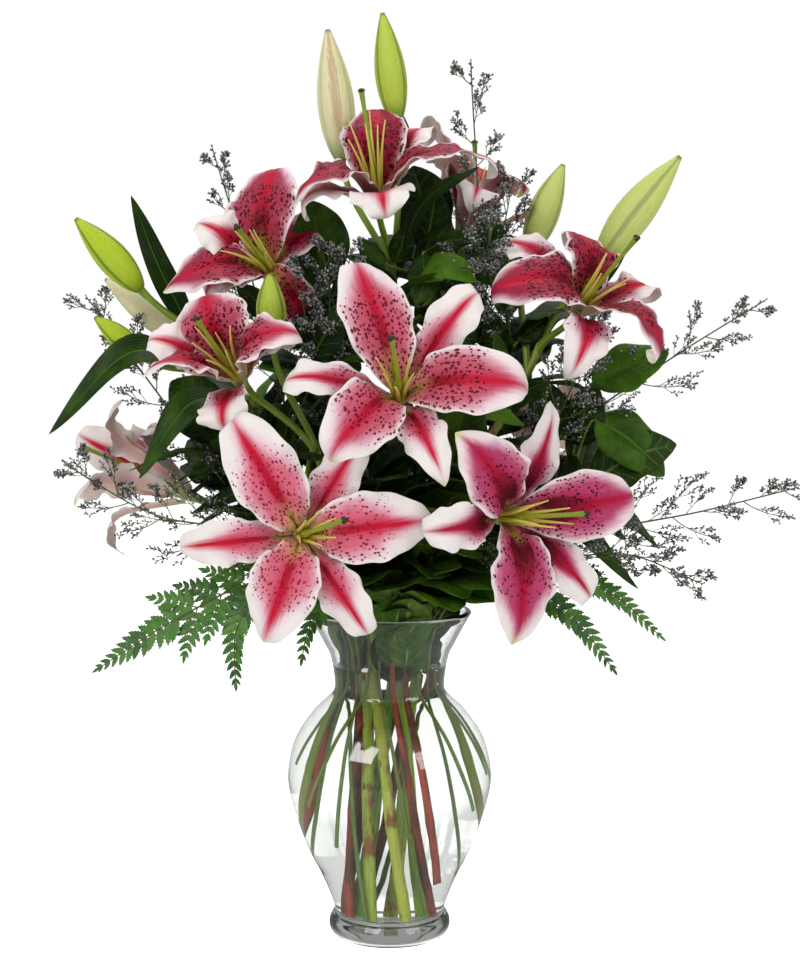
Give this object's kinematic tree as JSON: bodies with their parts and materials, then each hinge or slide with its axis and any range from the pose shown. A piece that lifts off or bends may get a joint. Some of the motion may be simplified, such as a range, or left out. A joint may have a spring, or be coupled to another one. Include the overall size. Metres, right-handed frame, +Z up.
{
  "type": "lilies in a vase",
  "caption": "Bouquet of open and budding pink lilies with lemon leaf, fern and sea lavender, standing in water in a clear glass urn vase.",
  "frame": {"origin": "centre of the flat underside of the vase's foot", "axes": "+Z up through the vase, +X to the right of the bouquet as it is seen from its front, the front faces -Y"},
  "size_m": [0.5175, 0.3252, 0.6483],
  "materials": {
    "glass": "clear polished glass",
    "water": "clear still water",
    "petal": "soft satin petal, pink with white margins and crimson spots",
    "green_bud": "smooth satin bud, yellow-green",
    "cream_bud": "smooth satin bud, cream with pinkish ridges",
    "lily_stem": "smooth green stem",
    "lily_leaf": "satin dark green leaf",
    "lemon_leaf": "leathery dark green leaf on a woody twig",
    "fern": "matte green frond",
    "sea_lavender": "dry wiry twigs with tiny grey-purple flowers"
  },
  "bodies": {
    "root": {"vase": "glass", "water": "water", "lily_stem_left_front": "lily_stem", "lily_stem_front": "lily_stem", "lily_stem_right": "lily_stem", "lily_stem_rear": "lily_stem", "lily_stem_left": "lily_stem", "bloom_centre": "petal", "bloom_lower_left": "petal", "bloom_lower_right": "petal", "bloom_left": "petal", "bloom_upper_left": "petal", "bloom_top": "petal", "bloom_right": "petal", "bloom_top_rear": "petal", "bloom_rear_left": "petal", "bloom_rear_right": "petal", "bud_left_upper": "green_bud", "bud_left_lower": "green_bud", "bud_left_cream": "cream_bud", "bud_inner": "green_bud", "bud_top_cream": "cream_bud", "bud_top_green": "green_bud", "bud_right_rear": "green_bud", "bud_right_large": "green_bud", "leaf_left_upright": "lily_leaf", "leaf_left_long": "lily_leaf", "leaf_left_drooping": "lily_leaf", "leaf_under_bud": "lily_leaf", "leaf_front": "lily_leaf", "leaf_inner_upright": "lily_leaf", "leaf_top": "lily_leaf", "leaf_top_bud": "lily_leaf", "leaf_low_left": "lily_leaf", "leaf_low_right": "lily_leaf", "lemon_leaf_right": "lemon_leaf", "lemon_leaf_right_rear": "lemon_leaf", "lemon_leaf_rear": "lemon_leaf", "lemon_leaf_top": "lemon_leaf", "lemon_leaf_left_rear": "lemon_leaf", "lemon_leaf_left": "lemon_leaf", "lemon_leaf_front_left": "lemon_leaf", "lemon_leaf_front": "lemon_leaf", "fern_left": "fern", "fern_left_front": "fern", "fern_front": "fern", "fern_right": "fern", "fern_right_far": "fern", "fern_rear": "fern", "sea_lavender_right": "sea_lavender", "sea_lavender_right_low": "sea_lavender", "sea_lavender_right_high": "sea_lavender", "sea_lavender_top": "sea_lavender", "sea_lavender_upper_left": "sea_lavender", "sea_lavender_left": "sea_lavender", "sea_lavender_left_low": "sea_lavender"}
  },
  "joints": []
}
